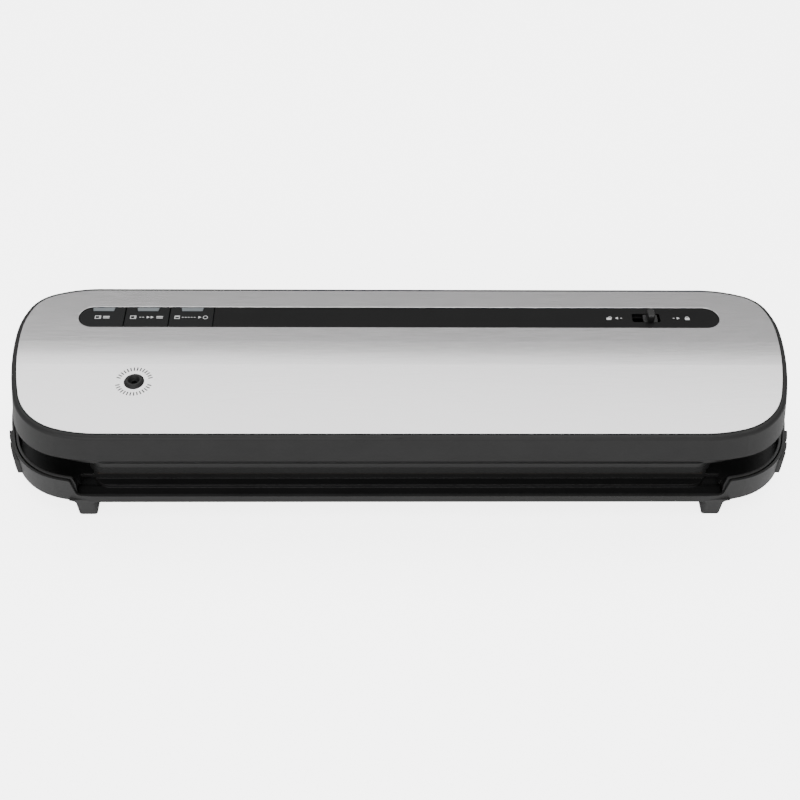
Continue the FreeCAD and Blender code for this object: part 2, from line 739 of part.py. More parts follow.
def lid_shell():
    solid = skirt_block(lid_overhang, skirt_bottom).common(under_crown(plate_proud))
    solid = round_edges(solid, lid_edge_round,
                        lambda e: e.BoundBox.ZMin > skirt_bottom + 8 and e.BoundBox.ZLength < 6)
    seat = prism(plate_gap, skirt_bottom, plate_top + 5).cut(under_crown(plate_thickness))
    hollow = skirt_block(lid_overhang - wall, skirt_bottom).common(under_crown(shell_top_drop))
    shell = cut(solid, seat, hollow)
    rear_floor = lid_prism(lid_overhang - 1, skirt_bottom, skirt_bottom + skin).common(
        box(-half_length - 10, half_length + 10, tub_rear + 2.3, half_depth + 10, 0, plate_top))
    parts = [rear_floor]
    for x in (-hinge_x, hinge_x):
        for side in (-1, 1):
            a = x + side * (ear_width / 2 + 0.3)
            b = a + side * arm_width
            a, b = min(a, b), max(a, b)
            parts.append(box(a, b, hinge_y - knuckle_radius, hinge_y + knuckle_radius,
                             hinge_z, skirt_bottom + skin))
            parts.append(rod_x(a, b, hinge_y, hinge_z, knuckle_radius))
    for x, y in boss_points:
        top = crown_height(y) if y < crown_bend else plate_top
        parts.append(rod(x, y, tub_floor_top, top - shell_top_drop + 1.0, boss_radius))
    shell = join(shell, *parts)
    tools = [capsule(slip, pocket_floor, plate_top + 1)]
    for x in (-hinge_x, hinge_x):
        reach = ear_width + arm_width
        tools.append(rod_x(x - reach, x + reach, hinge_y, hinge_z, pin_radius + running))
    for x, y in boss_points:
        tools.append(rod(x, y, tub_floor_top - 1, tub_floor_top + 9, screw_radius))
    for x in key_centres():
        tools.append(rounded(x - 4, x + 4, strip_y - 4, strip_y + 3, pocket_floor - 5, plate_top, 1))
        tools.append(window_block(x, slip, pocket_floor - 5, plate_top))
    tools.append(slot_block(pocket_floor - 5, plate_top))
    tools.append(rod(port_x, port_y, skirt_bottom, plate_top + 5, port_radius - 1.2))
    return cut(shell, *tools)


def key_centres():
    return [key_first - key_pitch * (i + 0.5) for i in range(3)]


def window_block(x, grow, z0, z1):
    y1 = strip_y + strip_depth / 2 - window_inset + grow
    y0 = y1 - window_depth - 2 * grow
    a = window_width / 2 + grow
    points = [Vector(x - a, y1, z0), Vector(x - a + 0.5, y0, z0),
              Vector(x + a - 0.5, y0, z0), Vector(x + a, y1, z0)]
    return Part.Face(Part.makePolygon(points + [points[0]])).extrude(Vector(0, 0, z1 - z0))


def slot_block(z0, z1):
    """Opening that the latch knob slides in. The knob rests near its right-hand end."""
    right = latch_rest + knob_width / 2 + 1.3
    return rounded(right - slot_length, right, strip_y - knob_depth / 2 - moving,
                   strip_y + knob_depth / 2 + moving, z0, z1, 1.0)


def lid_liner():
    tub = prism(-tub_inset, tub_bottom, flange_top)
    hollow = prism(-tub_inset - skin, tub_floor_top, flange_top + 1)
    keep = box(-half_length, half_length, -half_depth, tub_rear, 0, plate_top)
    inner = box(-half_length, half_length, -half_depth, tub_rear - skin, 0, plate_top)
    hollow = hollow.common(inner)
    flange = lid_prism(lid_overhang - wall - slip, flange_bottom, flange_top)
    flange = flange.common(box(-half_length - 9, half_length + 9, -half_depth - 9, tub_rear + 2,
                               0, plate_top))
    pad = rounded(-platform_half - 1, platform_half + 1, platform_y + pad_front, platform_rear, pad_bottom,
                  tub_bottom + 1, platform_round)
    body = join(tub.common(keep), flange, pad).cut(hollow)
    tools = [box(x0, x1, -hook_width / 2 - 0.8, hook_width / 2 + 0.8, pad_bottom, tub_floor_top + 1)
             for x0, x1 in hook_spans(0.6)]
    for x, y in boss_points:
        tools.append(rod(x, y, tub_bottom - 1, tub_floor_top + 1, screw_radius + slip))
        tools.append(rod(x, y, tub_bottom - 3, tub_bottom + 1.2, 3.0))
    tools.append(rod(valve_x, pump_y, pad_bottom - 1, tub_floor_top + 1, 3.6 + slip))
    return cut(body, *tools)


def lid_screws():
    return [screw(x, y, tub_bottom - 0.6, 8.5, 2.7, 1.8) for x, y in boss_points]


def top_plate():
    plate = prism(0, skirt_bottom, plate_top + 5).common(under_crown(0)).cut(under_crown(plate_thickness))
    return cut(plate, capsule(slip, skirt_bottom, plate_top + 5),
               rod(port_x, port_y, skirt_bottom, plate_top + 5, port_radius + 0.1))


def control_strip():
    z1 = plate_top - strip_sunk
    body = capsule(0, pocket_floor, z1).common(
        box(key_first + key_gap / 2, half_length, 0, half_depth, pocket_floor, z1))
    return body.cut(slot_block(pocket_floor - 1, z1 + 1))


def key(i):
    z1 = plate_top - strip_sunk
    x1 = key_first - key_pitch * i - key_gap / 2
    x0 = x1 - key_pitch + key_gap if i < 2 else -half_length
    cap = capsule(-slip, z1 - key_thickness, z1).common(box(x0, x1, 0, half_depth, 0, plate_top))
    cap = round_edges(cap, 0.3, lambda e: e.BoundBox.ZMin > z1 - 0.01)
    x = key_centres()[i]
    stem = rounded(x - 2.5, x + 2.5, strip_y - 3, strip_y + 1,
                   switch_top() + key_travel + 0.1, z1 - key_thickness + 0.3, 0.8)
    return cut(join(cap, stem), window_block(x, slip + 0.1, switch_top() - 1, plate_top + 1))


def switch_top():
    return pocket_floor - 3.9 - key_travel


def indicator_windows():
    z0 = control_board_top + 0.6
    return [window_block(x, 0, z0, plate_top - strip_sunk) for x in key_centres()]


def control_board():
    x1, x0 = key_first + 4, key_centres()[2] - 11
    top = control_board_top
    return box(x0, x1, strip_y - 11, strip_y + 9, top - board_thickness, top)


def button_switches():
    return [box(x - 3, x + 3, strip_y - 4, strip_y + 2, control_board_top, switch_top()) for x in key_centres()]


def indicator_lamps():
    y = strip_y + strip_depth / 2 - window_inset - window_depth / 2
    return [box(x - 1.5, x + 1.5, y - 0.8, y + 0.8, control_board_top, control_board_top + 0.5)
            for x in key_centres()]


def slider_knob():
    z1 = plate_top - 0.4
    x, y = latch_rest, strip_y
    plate = rounded(x - knob_width / 2, x + knob_width / 2, y - knob_depth / 2, y + knob_depth / 2,
                    z1 - 2.0, z1, 0.9)
    fin = rounded(x - fin_width / 2, x + fin_width / 2, y - knob_depth / 2, y + knob_depth / 2,
                  z1 - 0.5, plate_top + fin_rise, 0.9)
    fin = round_edges(fin, 0.8, lambda e: e.BoundBox.ZMin > plate_top + fin_rise - 0.01)
    stem = rounded(x - 2.2, x + 2.2, y - 2.0, y + 2.0, bar_top, z1 - 1.0, 0.6)
    return join(plate, fin, stem)


def latch_bar():
    """Flat bar under the knob with an arm to a hook at each end."""
    z0, z1 = bar_top - bar_thickness, bar_top
    inner = hook_x - hook_toe - bar_thickness
    bar = box(-hook_x, hook_x, bar_y - bar_width / 2, bar_y + bar_width / 2, z0, z1)
    parts = [bar]
    toe_bottom = deck_top - 1.7
    for end in (hook_x, -inner):
        x0 = end - hook_toe - bar_thickness
        parts.append(box(x0, end, -hook_width / 2, bar_y, z0, z1))
        parts.append(box(x0, x0 + bar_thickness, -hook_width / 2, hook_width / 2, toe_bottom, z1))
        parts.append(box(x0, end, -hook_width / 2, hook_width / 2, toe_bottom, toe_bottom + 1.3))
    return join(*parts)


def accessory_port():
    """Rubber seat for the hose of a handheld sealer: a low cone with a blind rim and a bore."""
    top = crown_height(port_y) + 1.3
    low = crown_height(port_y) - plate_thickness
    seat = crown_height(port_y + port_radius) - plate_thickness + 0.02
    body = join(Part.makeCone(port_radius, port_radius - 1.0, top - seat, Vector(port_x, port_y, seat)),
                rod(port_x, port_y, low - 4.6, seat, port_radius - 1.3),
                rod(port_x, port_y, low - 6.2, low - 3.6, port_radius - 0.3))
    dish = Part.makeCone(port_bore + 0.2, port_radius - 1.9, 2.2, Vector(port_x, port_y, top - 2.2))
    return cut(body, dish, rod(port_x, port_y, low - 8, top + 1, port_bore))


def upper_gasket():
    return ring(gasket_half, gasket_front, gasket_rear, gasket_width, pad_bottom - upper_gasket_height,
                pad_bottom, gasket_round)


def pressure_strip():
    """Rubber strip over the heater. Its ends wrap back round the pad's corners."""
    z0 = tape_top + strip_gap
    front = platform_y + strip_front
    half = platform_half + 1.5
    loop = rounded(-half, half, front, front + 40, z0, pad_bottom, platform_round).cut(
        rounded(-half + strip_width, half - strip_width, front + strip_width, front + 60, z0 - 1, pad_bottom + 1, 1.5))
    strip = loop.common(box(-half, half, front, gasket_front - 0.5, 0, plate_top))
    return round_edges(strip, 0.7, lambda e: e.BoundBox.ZMax < z0 + 0.01 and e.BoundBox.YMin < front + 9
                       and e.BoundBox.XLength > 3)


def pump_z():
    return (tub_floor_top + cavity_top - 0.7) / 2


def motor_radius():
    return (cavity_top - 0.7 - tub_floor_top) / 2 - motor_clearance


def pump_head():
    r = motor_radius()
    z = pump_z()
    x1 = pump_x + pump_length
    body = rounded(pump_x, x1, pump_y - r, pump_y + r, z - r, z + r, 2)
    chamber = rod_x(pump_x + 4, x1 - 2, pump_y, z, r - 2.5)
    return cut(body, chamber, rod_x(x1 - 3, x1 + 1, pump_y, z, shaft_radius + running + 0.9))


def pump_cover():
    """Valve plate on the pump's end, with the intake nipple."""
    r = motor_radius()
    z = pump_z()
    plate = rounded(pump_x - 3, pump_x, pump_y - r, pump_y + r, z - r, z + r, 1.2)
    nipple = rod_x(pump_x - 8, pump_x - 2.5, pump_y, z, hose_bore)
    return join(plate, nipple).cut(rod_x(pump_x - 9, pump_x + 1, pump_y, z, hose_bore - 0.7))


def motor_can():
    x0 = pump_x + pump_length
    z, r = pump_z(), motor_radius()
    can = rod_x(x0, x0 + motor_length, pump_y, z, r)
    inner = rod_x(x0 + 1, x0 + motor_length - 1, pump_y, z, r - 1)
    return cut(can, inner, rod_x(x0 - 1, x0 + motor_length + 1, pump_y, z, shaft_radius + running))


def motor_rotor():
    x0 = pump_x + pump_length
    z = pump_z()
    shaft = rod_x(x0 - 9, x0 + motor_length + 2, pump_y, z, shaft_radius)
    armature = rod_x(x0 + 5, x0 + motor_length - 5, pump_y, z, motor_radius() - 3)
    return join(shaft, armature)


def eccentric():
    x0 = pump_x + pump_length
    body = rod_x(x0 - 8.5, x0 - 3.5, pump_y, pump_z() + eccentric_offset, 5.0)
    return body.cut(rod_x(x0 - 10, x0, pump_y, pump_z(), shaft_radius))


def pump_cradle():
    """Rubber saddle between the motor and the tub."""
    x0 = pump_x + pump_length + 6
    r = motor_radius()
    block = rounded(x0, x0 + 20, pump_y - r + 1.5, pump_y + r - 1.5, tub_floor_top, pump_z() - r * 0.55, 2)
    return block.cut(rod_x(x0 - 1, x0 + 21, pump_y, pump_z(), r))


def selector_valve():
    z = pump_z()
    body = rounded(valve_x - 6.5, valve_x + 6.5, pump_y - 6.5, pump_y + 6.5, tub_floor_top, z + 6, 1.5)
    spout = rod_x(valve_x - 11, valve_x - 6, pump_y, z, hose_bore)
    inlet = rod_x(valve_x + 6, valve_x + 10, pump_y, z, hose_bore)
    passage = rod_x(valve_x - 12, valve_x + 11, pump_y, z, hose_bore - 0.7)
    return cut(join(body, spout, inlet), passage, rod(valve_x, pump_y, tub_floor_top - 1, z, 1.2))


def intake_nozzle():
    """Suction mouth in the lid's underside, inside the gasket."""
    body = join(rod(valve_x, pump_y, pad_bottom - 1.4, pad_bottom, 5.2),
                rod(valve_x, pump_y, pad_bottom, tub_floor_top, 3.6))
    return body.cut(rod(valve_x, pump_y, pad_bottom - 3, tub_floor_top + 1, 1.8))


def pump_hose():
    z = pump_z()
    a, b = valve_x + 6.6, pump_x - 3.1
    return rod_x(a, b, pump_y, z, hose_radius).cut(rod_x(a - 1, b + 1, pump_y, z, hose_bore))


def port_hose():
    z = pump_z()
    end = crown_height(port_y) - plate_thickness - 6.2
    nipple = end - 2.2
    points = [Vector(valve_x - 6.6, pump_y, z), Vector(port_x, pump_y, z), Vector(port_x, port_y, z),
              Vector(port_x, port_y, nipple)]
    return tube(points, (6.0, 4.5), hose_radius, hose_bore)


def port_tube():
    """Barbed tube between the port's rubber seat and its hose."""
    end = crown_height(port_y) - plate_thickness - 6.2
    z0 = end - 3.4
    body = join(rod(port_x, port_y, end - 2.0, end, port_radius - 0.3), rod(port_x, port_y, z0, end, hose_bore))
    return cut(body, rod(port_x, port_y, z0 - 1, end + 1, hose_bore - 0.6))


pieces = {
    "base_housing": base_housing, "base_deck": base_deck, "bottom_cover": bottom_cover,
    "side_grip_left": lambda: side_grip(-1), "side_grip_right": lambda: side_grip(1),
    "foot_pads": foot_pads, "hinge_pins": hinge_pins, "drip_tray": drip_tray,
    "lower_gasket": lower_gasket, "heater_carrier": heater_carrier, "heating_element": heating_element,
    "heater_tape": heater_tape, "latch_catches": latch_catches, "catch_screws": catch_screws,
    "lid_switch": lid_switch, "power_board": power_board, "board_screws": board_screws,
    "transformer": transformer, "capacitors": capacitors, "heat_sink": heat_sink,
    "cord_gland": cord_gland, "base_screws": base_screws,
    "lid_shell": lid_shell, "lid_liner": lid_liner, "lid_screws": lid_screws, "top_plate": top_plate,
    "control_strip": control_strip, "accessory_key": lambda: key(0), "vacuum_key": lambda: key(1),
    "seal_key": lambda: key(2), "indicator_windows": indicator_windows, "indicator_lamps": indicator_lamps,
    "control_board": control_board, "button_switches": button_switches,
    "slider_knob": slider_knob, "latch_bar": latch_bar, "accessory_port": accessory_port,
    "port_tube": port_tube, "port_hose": port_hose, "upper_gasket": upper_gasket,
    "pressure_strip": pressure_strip, "pump_head": pump_head, "pump_cover": pump_cover,
    "motor_can": motor_can, "motor_rotor": motor_rotor, "eccentric": eccentric,
    "pump_cradle": pump_cradle, "selector_valve": selector_valve, "intake_nozzle": intake_nozzle,
    "pump_hose": pump_hose,
}

os.makedirs("parts", exist_ok=True)
for name, make in pieces.items():
    shape = make()
    if isinstance(shape, list):
        shape = Part.makeCompound(shape)
    size = shape.BoundBox
    print(f"{name:20s} solids {len(shape.Solids)} valid {shape.isValid()} volume {shape.Volume:10.1f}"
          f" x {size.XMin:.1f} {size.XMax:.1f} y {size.YMin:.1f} {size.YMax:.1f} z {size.ZMin:.1f} {size.ZMax:.1f}")
    shape.exportStep(f"parts/{name}.step")
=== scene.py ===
import bpy
import math
from mathutils import Matrix, Quaternion, Vector


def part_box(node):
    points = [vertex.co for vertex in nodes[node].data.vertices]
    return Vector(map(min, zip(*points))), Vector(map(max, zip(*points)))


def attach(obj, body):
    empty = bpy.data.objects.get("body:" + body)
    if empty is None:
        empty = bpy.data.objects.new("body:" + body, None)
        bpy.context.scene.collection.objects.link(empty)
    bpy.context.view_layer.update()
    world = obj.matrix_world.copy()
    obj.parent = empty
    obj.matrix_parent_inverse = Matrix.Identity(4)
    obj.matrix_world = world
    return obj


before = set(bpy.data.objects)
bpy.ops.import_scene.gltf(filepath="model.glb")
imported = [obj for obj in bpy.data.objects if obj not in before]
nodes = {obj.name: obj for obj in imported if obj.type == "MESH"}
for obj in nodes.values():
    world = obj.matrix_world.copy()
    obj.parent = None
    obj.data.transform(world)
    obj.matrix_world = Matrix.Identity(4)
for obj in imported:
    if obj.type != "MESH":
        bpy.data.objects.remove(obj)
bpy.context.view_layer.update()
mm = 0.001


# ---------- materials ----------
def linear(code):
    """sRGB hex to the linear colour that shaders take."""
    parts = [int(code[i:i + 2], 16) / 255 for i in (1, 3, 5)]
    return tuple(c / 12.92 if c <= 0.04045 else ((c + 0.055) / 1.055) ** 2.4 for c in parts) + (1.0,)


def add(tree, kind, settings=None, links=None):
    """Adds a node, sets its sockets or properties by name, and links its inputs."""
    node = tree.nodes.new(kind)
    for key, value in (settings or {}).items():
        if key in node.inputs:
            node.inputs[key].default_value = value
        else:
            setattr(node, key, value)
    for key, source in (links or {}).items():
        tree.links.new(source, node.inputs[key])
    return node


def newMaterial(name, settings):
    """A Principled material with Object coordinates ready to use."""
    mat = bpy.data.materials.new(name)
    mat.use_nodes = True
    tree = mat.node_tree
    tree.nodes.clear()
    shader = add(tree, "ShaderNodeBsdfPrincipled", settings)
    add(tree, "ShaderNodeOutputMaterial", None, {"Surface": shader.outputs["BSDF"]})
    coords = add(tree, "ShaderNodeTexCoord")
    return mat, tree, shader, coords.outputs["Object"]


def ramp(tree, source, stops):
    """Colour ramp from a value, with stops as (position, hex)."""
    node = add(tree, "ShaderNodeValToRGB", None, {"Fac": source})
    elements = node.color_ramp.elements
    while len(elements) < len(stops):
        elements.new(0.5)
    for element, (position, code) in zip(elements, stops):
        element.position = position
        element.color = linear(code)
    return node.outputs["Color"]


def span(tree, source, low, high):
    """Stretches a 0 to 1 value to a range."""
    node = add(tree, "ShaderNodeMapRange", {"To Min": low, "To Max": high}, {"Value": source})
    return node.outputs["Result"]


def moulded(name, dark, light, rough, grain, depth, edge=0.25, specular=0.5):
    """Moulded plastic or rubber: fine grain, faint cloudiness and softly rounded edges.
    grain is the grain's size, depth its height and edge the edge radius, all in mm."""
    mat, tree, shader, coords = newMaterial(name, {"Roughness": rough, "IOR": 1.49,
                                                   "Specular IOR Level": specular})
    cloud = add(tree, "ShaderNodeTexNoise", {"Scale": 1 / (14 * mm), "Detail": 3.0}, {"Vector": coords})
    tone = ramp(tree, cloud.outputs["Fac"], ((0.3, dark), (0.7, light)))
    tree.links.new(tone, shader.inputs["Base Color"])
    fine = add(tree, "ShaderNodeTexNoise", {"Scale": 1 / (grain * mm), "Detail": 2.0}, {"Vector": coords})
    tree.links.new(span(tree, fine.outputs["Fac"], rough - 0.05, rough + 0.07), shader.inputs["Roughness"])
    soft = add(tree, "ShaderNodeBevel", {"samples": 6, "Radius": edge * mm})
    bump = add(tree, "ShaderNodeBump", {"Strength": 0.35, "Distance": depth * mm},
               {"Height": fine.outputs["Fac"], "Normal": soft.outputs["Normal"]})
    tree.links.new(bump.outputs["Normal"], shader.inputs["Normal"])
    return mat


def metal(name, dark, light, rough, stretch, grain, edge=0.1):
    """Metal with a brushed or drawn grain. stretch squeezes the pattern along X, Y and Z."""
    mat, tree, shader, coords = newMaterial(name, {"Metallic": 1.0, "Roughness": rough})
    squeezed = add(tree, "ShaderNodeMapping", {"Scale": stretch}, {"Vector": coords})
    lines = add(tree, "ShaderNodeTexNoise", {"Scale": 1 / (grain * mm), "Detail": 4.0, "Roughness": 0.65},
                {"Vector": squeezed.outputs["Vector"]})
    tone = ramp(tree, lines.outputs["Fac"], ((0.25, dark), (0.75, light)))
    tree.links.new(tone, shader.inputs["Base Color"])
    tree.links.new(span(tree, lines.outputs["Fac"], rough - 0.05, rough + 0.06), shader.inputs["Roughness"])
    soft = add(tree, "ShaderNodeBevel", {"samples": 6, "Radius": edge * mm})
    bump = add(tree, "ShaderNodeBump", {"Strength": 0.12, "Distance": 0.02 * mm},
               {"Height": lines.outputs["Fac"], "Normal": soft.outputs["Normal"]})
    tree.links.new(bump.outputs["Normal"], shader.inputs["Normal"])
    return mat


# Dark grey ABS of the lid: satin, a fine spark-eroded grain that breaks the highlights up.
lidPlastic = moulded("satinAbsLid", "#1c1c1c", "#1f1f1f", 0.5, 0.35, 0.02, edge=0.35, specular=0.18)
# The base's outer wall: the same ABS, a little lighter where light catches its upright face.
basePlastic = moulded("satinAbsBase", "#1e1e1e", "#212121", 0.46, 0.35, 0.02, edge=0.4, specular=0.3)
# Near-black inner mouldings: dull, so that the gap reads as deep shadow.
innerPlastic = moulded("blackAbsInner", "#101010", "#131313", 0.42, 0.4, 0.02, edge=0.5, specular=0.4)
# Control strip: black semi-gloss with a soft sheen.
stripPlastic = moulded("stripAbs", "#080808", "#0a0a0a", 0.36, 0.5, 0.008, edge=0.2, specular=0.12)
# Keys: the same plastic as the strip, a touch lighter.
keyPlastic = moulded("keyAbs", "#0a0b0b", "#0c0d0d", 0.38, 0.5, 0.008, edge=0.25, specular=0.14)
# Latch knob: a darker, slightly shinier plastic that fingers polish.
knobPlastic = moulded("knobAbs", "#101010", "#131313", 0.34, 0.5, 0.008, edge=0.3, specular=0.35)
# Grips on the ends and the soft feet, seat and gland: matt rubber with a fine grain.
gripRubber = moulded("gripElastomer", "#171717", "#1a1a1a", 0.6, 0.5, 0.03, edge=0.4)
softRubber = moulded("blackRubber", "#141414", "#181818", 0.6, 0.5, 0.03, edge=0.4, specular=0.3)
# Gasket foam: dull and open-looking, the roughest surface here.
gasketFoam = moulded("closedCellFoam", "#1d1d1e", "#2b2b2c", 0.85, 0.7, 0.15, edge=0.5, specular=0.3)
# Switches, pump and electronics, mostly out of sight.
switchPlastic = moulded("switchNylon", "#151515", "#1b1b1b", 0.45, 0.4, 0.01)
pumpPlastic = moulded("pumpNylon", "#55575a", "#5f6164", 0.5, 0.4, 0.02)
transformerLaminate = moulded("varnishedLaminate", "#2a2320", "#3a302a", 0.45, 0.6, 0.03)
capacitorSleeve = moulded("capacitorSleeve", "#141c33", "#1b2442", 0.28, 0.8, 0.004)
lampResin = moulded("lampResin", "#cfd6cf", "#dfe6df", 0.2, 0.8, 0.004)
# Frosted light windows: milky grey, lit from the room and not from inside.
windowPlastic = moulded("frostedWindow", "#54595c", "#5c6164", 0.5, 0.4, 0.01, edge=0.15)
# Pale printed ink on the strip, and the dark marks on the plate.
printInk = moulded("printInk", "#b4b4b4", "#c0c0c0", 0.6, 0.3, 0.002, edge=0.02)
engraving = moulded("engravedMark", "#1b1b1c", "#222223", 0.6, 0.3, 0.002, edge=0.02)

# Brushed stainless plate: grey, satin, its grain running from left to right.
plateSteel = metal("brushedStainless", "#bdbcbd", "#cac9c9", 0.2, (0.02, 1.0, 1.0), 0.35, edge=0.35)
drawnSteel = metal("platedSteel", "#8f8f8f", "#a2a2a2", 0.35, (1.0, 1.0, 1.0), 0.5)
nichromeRibbon = metal("nichromeRibbon", "#77736f", "#8b8681", 0.4, (0.05, 1.0, 1.0), 0.2)
castAluminium = metal("extrudedAluminium", "#a9abae", "#bcbec1", 0.38, (1.0, 0.05, 1.0), 0.3)


def weave():
    """Coated glass cloth over the heater: dark brown, smooth, with the cloth's squares showing faintly."""
    mat, tree, shader, coords = newMaterial("coatedGlassCloth", {"Roughness": 0.38, "IOR": 1.4})
    cloth = add(tree, "ShaderNodeTexChecker", {"Scale": 1 / (0.5 * mm), "Color1": linear("#1d1813"),
                                               "Color2": linear("#221c16")}, {"Vector": coords})
    tree.links.new(cloth.outputs["Color"], shader.inputs["Base Color"])
    bump = add(tree, "ShaderNodeBump", {"Strength": 0.2, "Distance": 0.03 * mm},
               {"Height": cloth.outputs["Fac"]})
    tree.links.new(bump.outputs["Normal"], shader.inputs["Normal"])
    return mat


def ribbedRubber():
    """Silicone strip with fine ribs across it."""
    mat, tree, shader, coords = newMaterial("ribbedSilicone", {"Roughness": 0.55, "IOR": 1.41,
                                                              "Base Color": linear("#131313"),
                                                              "Specular IOR Level": 0.3})
    ribs = add(tree, "ShaderNodeTexWave", {"Scale": 1 / (14 * mm), "Distortion": 0.4, "Detail": 1.0},
               {"Vector": coords})
    soft = add(tree, "ShaderNodeBevel", {"samples": 6, "Radius": 0.7 * mm})
    bump = add(tree, "ShaderNodeBump", {"Strength": 0.5, "Distance": 0.15 * mm},
               {"Height": ribs.outputs["Fac"], "Normal": soft.outputs["Normal"]})
    tree.links.new(bump.outputs["Normal"], shader.inputs["Normal"])
    return mat


def circuitBoard():
    """Green solder mask with paler copper runs under it."""
    mat, tree, shader, coords = newMaterial("solderMask", {"Roughness": 0.32, "IOR": 1.5})
    runs = add(tree, "ShaderNodeTexVoronoi", {"Scale": 1 / (5 * mm), "distance": "MANHATTAN",
                                             "feature": "DISTANCE_TO_EDGE"}, {"Vector": coords})
    tree.links.new(ramp(tree, runs.outputs["Distance"], ((0.05, "#2f6b45"), (0.09, "#17452a"))),
                   shader.inputs["Base Color"])
    return mat


def hoseSilicone():
    """Translucent milky silicone."""
    mat, tree, shader, coords = newMaterial("milkySilicone", {
        "Base Color": linear("#d9d8d2"), "Roughness": 0.35, "IOR": 1.41, "Transmission Weight": 0.35})
    fine = add(tree, "ShaderNodeTexNoise", {"Scale": 1 / (1.5 * mm)}, {"Vector": coords})
    tree.links.new(span(tree, fine.outputs["Fac"], 0.3, 0.42), shader.inputs["Roughness"])
    return mat


def paintedEdgeHighlight(mat, dark, light, edges):
    """Paints a highlight on a moulding's edges: a paler colour where light would catch them. Each edge is an
    axis, a place on it and the comparison that it passes.
    """
    tree = mat.node_tree
    shader = next(n for n in tree.nodes if n.type == "BSDF_PRINCIPLED")
    coords = next(n for n in tree.nodes if n.type == "TEX_COORD").outputs["Object"]
    split = add(tree, "ShaderNodeSeparateXYZ", None, {"Vector": coords})
    masks = []
    for axis, start, comparison in edges:
        test = add(tree, "ShaderNodeMath", {"operation": comparison}, {0: split.outputs[axis]})
        test.inputs[1].default_value = start
        masks.append(test.outputs["Value"])
    both = add(tree, "ShaderNodeMath", {"operation": "MAXIMUM"}, {0: masks[0], 1: masks[-1]})
    old = shader.inputs["Base Color"].links[0].from_socket
    tone = add(tree, "ShaderNodeTexNoise", {"Scale": 1 / (14 * mm)}, {"Vector": coords})
    pale = ramp(tree, tone.outputs["Fac"], ((0.3, dark), (0.7, light)))
    mix = add(tree, "ShaderNodeMix", {"data_type": "RGBA"}, {"Factor": both.outputs["Value"]})
    tree.links.new(old, mix.inputs[6])
    tree.links.new(pale, mix.inputs[7])
    tree.links.new(mix.outputs[2], shader.inputs["Base Color"])
    return mat


# The base's inner moulding: as black as the others, with a painted highlight. Its top edge, the bead along
# the rim, and its front edge are paler grey, standing in for the light that catches them.
deckLow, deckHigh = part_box("base_deck")
highlightBand = {"top": 0.7 * mm, "front": 1.1 * mm}
highlightEdges = (("Z", deckHigh.z - highlightBand["top"], "GREATER_THAN"), ("Y", deckLow.y + highlightBand["front"], "LESS_THAN"))
deckBlack = moulded("blackAbsDeckPaintedHighlight", "#101010", "#131313", 0.42, 0.4, 0.02, edge=0.5, specular=0.3)
deckPaintedHighlight = paintedEdgeHighlight(deckBlack, "#2a2a2a", "#303030", highlightEdges)

finishes = {
    lidPlastic: ["lid_shell"], basePlastic: ["base_housing"], deckPaintedHighlight: ["base_deck"],
    innerPlastic: ["bottom_cover", "drip_tray", "heater_carrier", "lid_liner", "latch_bar", "port_tube",
                   "intake_nozzle"],
    stripPlastic: ["control_strip"], keyPlastic: ["accessory_key", "vacuum_key", "seal_key"],
    knobPlastic: ["slider_knob"], gripRubber: ["side_grip_left", "side_grip_right"],
    softRubber: ["foot_pads", "cord_gland", "accessory_port", "pump_cradle"],
    gasketFoam: ["lower_gasket", "upper_gasket"], switchPlastic: ["lid_switch", "button_switches"],
    pumpPlastic: ["pump_head", "pump_cover", "eccentric", "selector_valve"],
    transformerLaminate: ["transformer"], capacitorSleeve: ["capacitors"], lampResin: ["indicator_lamps"],
    windowPlastic: ["indicator_windows"], plateSteel: ["top_plate"],
    drawnSteel: ["hinge_pins", "latch_catches", "catch_screws", "board_screws", "base_screws", "lid_screws",
                 "motor_can", "motor_rotor"],
    nichromeRibbon: ["heating_element"], castAluminium: ["heat_sink"], weave(): ["heater_tape"],
    ribbedRubber(): ["pressure_strip"], circuitBoard(): ["power_board", "control_board"],
    hoseSilicone(): ["pump_hose", "port_hose"],
}
for finish, names in finishes.items():
    for name in names:
        nodes[name].data.materials.clear()
        nodes[name].data.materials.append(finish)
print("materials set on", sum(len(names) for names in finishes.values()), "nodes")


# ---------- printed and engraved signs ----------
rayStart = 200 * mm           # a height well above the object


def middle(node):
    low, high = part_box(node)
    return (low + high) / 2, low, high


def surface(node, x, y):
    """The point and normal of a CAD node's top under a point in plan."""
    _, place, normal, _ = nodes[node].ray_cast(Vector((x, y, rayStart)), Vector((0, 0, -1)))
    return place, normal


def settle(name, parts, finish, body):
    """Joins flat parts to one piece that rides on a body."""
    bpy.ops.object.select_all(action="DESELECT")
    for part in parts:
        part.select_set(True)
    bpy.context.view_layer.objects.active = parts[0]
    bpy.ops.object.join()
    piece = bpy.context.object
    piece.name = name
    bpy.ops.object.transform_apply(location=True, rotation=True, scale=True)
    piece.data.materials.clear()
    piece.data.materials.append(finish)
    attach(piece, body)
    return piece


ink = {"thick": 0.05 * mm, "line": 0.32 * mm, "tall": 2.3 * mm}


def bar(x, y, z, wide, deep):
    bpy.ops.mesh.primitive_cube_add(size=1, location=(x, y, z + ink["thick"] / 2))
    bpy.ops.transform.resize(value=(wide, deep, ink["thick"]))
    return bpy.context.object


